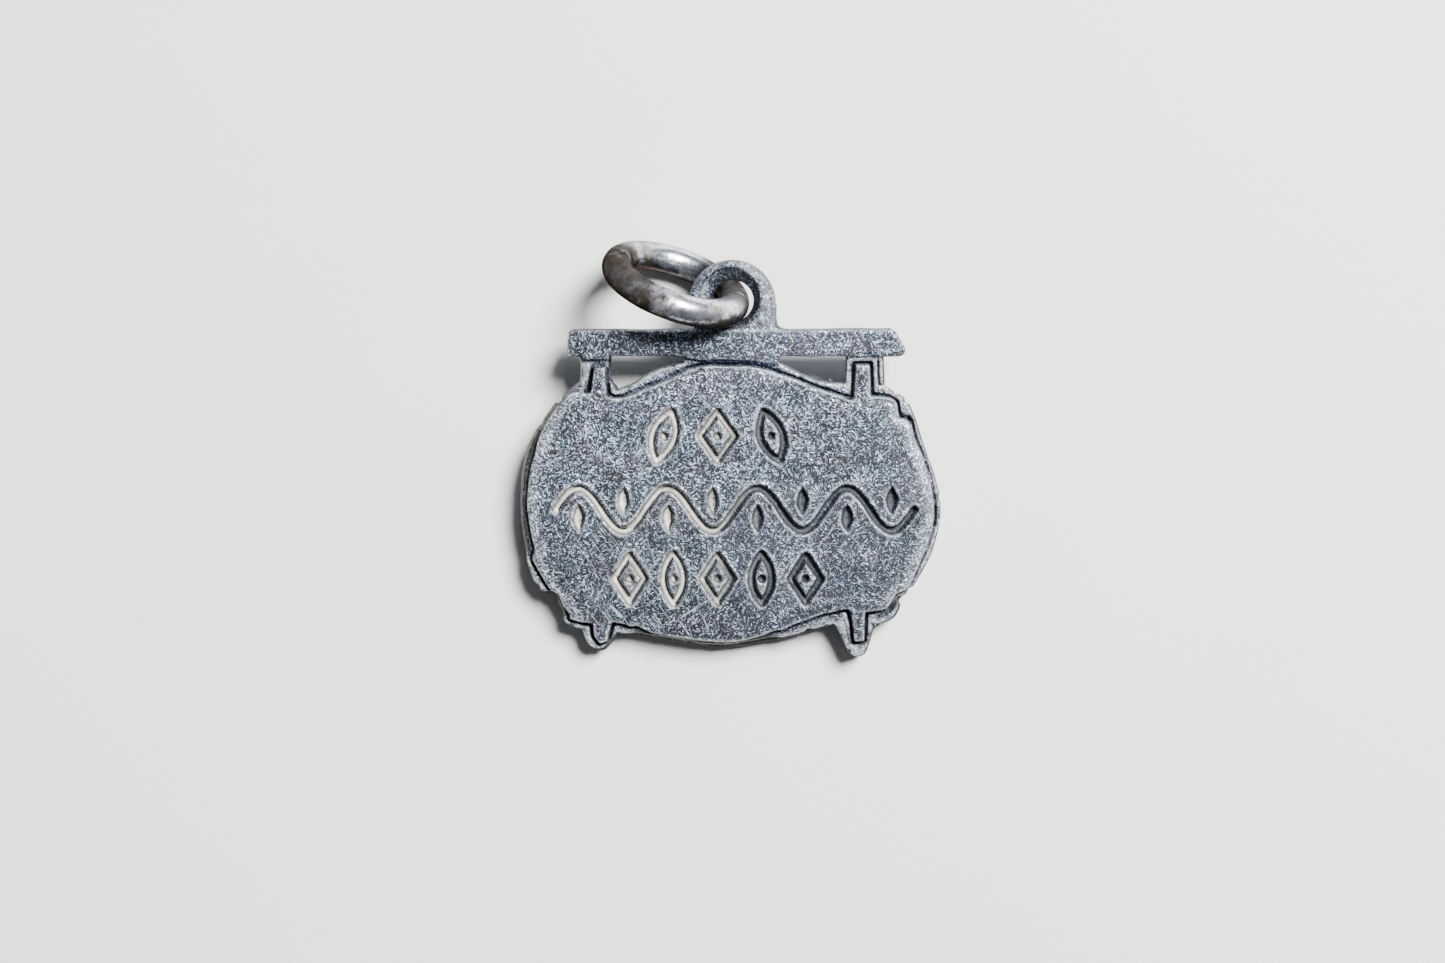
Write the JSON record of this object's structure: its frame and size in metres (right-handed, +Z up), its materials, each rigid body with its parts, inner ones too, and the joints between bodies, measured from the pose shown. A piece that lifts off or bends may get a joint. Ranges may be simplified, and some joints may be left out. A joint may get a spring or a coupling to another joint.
{
  "type": "key-ring charm with jump ring",
  "caption": "Flat two-faced metal souvenir charm, a bellied board hung from a crossbar by posts, with feet, a flared eye and a loose round-wire jump ring.",
  "frame": {"origin": "on the table, under the middle of the whole object's box", "axes": "+X to the charm's right, +Y from its feet towards its eye along the table, +Z up from the table; the charm lies face up and leans 6.25 degrees up towards +Y, propped on the ring's wire"},
  "size_m": [0.022, 0.0218, 0.0073],
  "materials": {
    "charm_metal": "aged grey white metal, speckled, tarnished dark in the recesses and worn bright on the edges",
    "ring_metal": "smooth worn nickel wire with brown tarnish"
  },
  "bodies": {
    "charm": {"charm_body": "charm_metal"},
    "ring": {"jump_ring": "ring_metal"}
  },
  "joints": [
    {"name": "ring_swing", "type": "hinge", "parent": "charm", "child": "ring", "pos_m": [0.00018, 0.00763, 0.00292], "axis": [0, -0.1089, 0.9941], "range_deg": [-125, 20]}
  ]
}
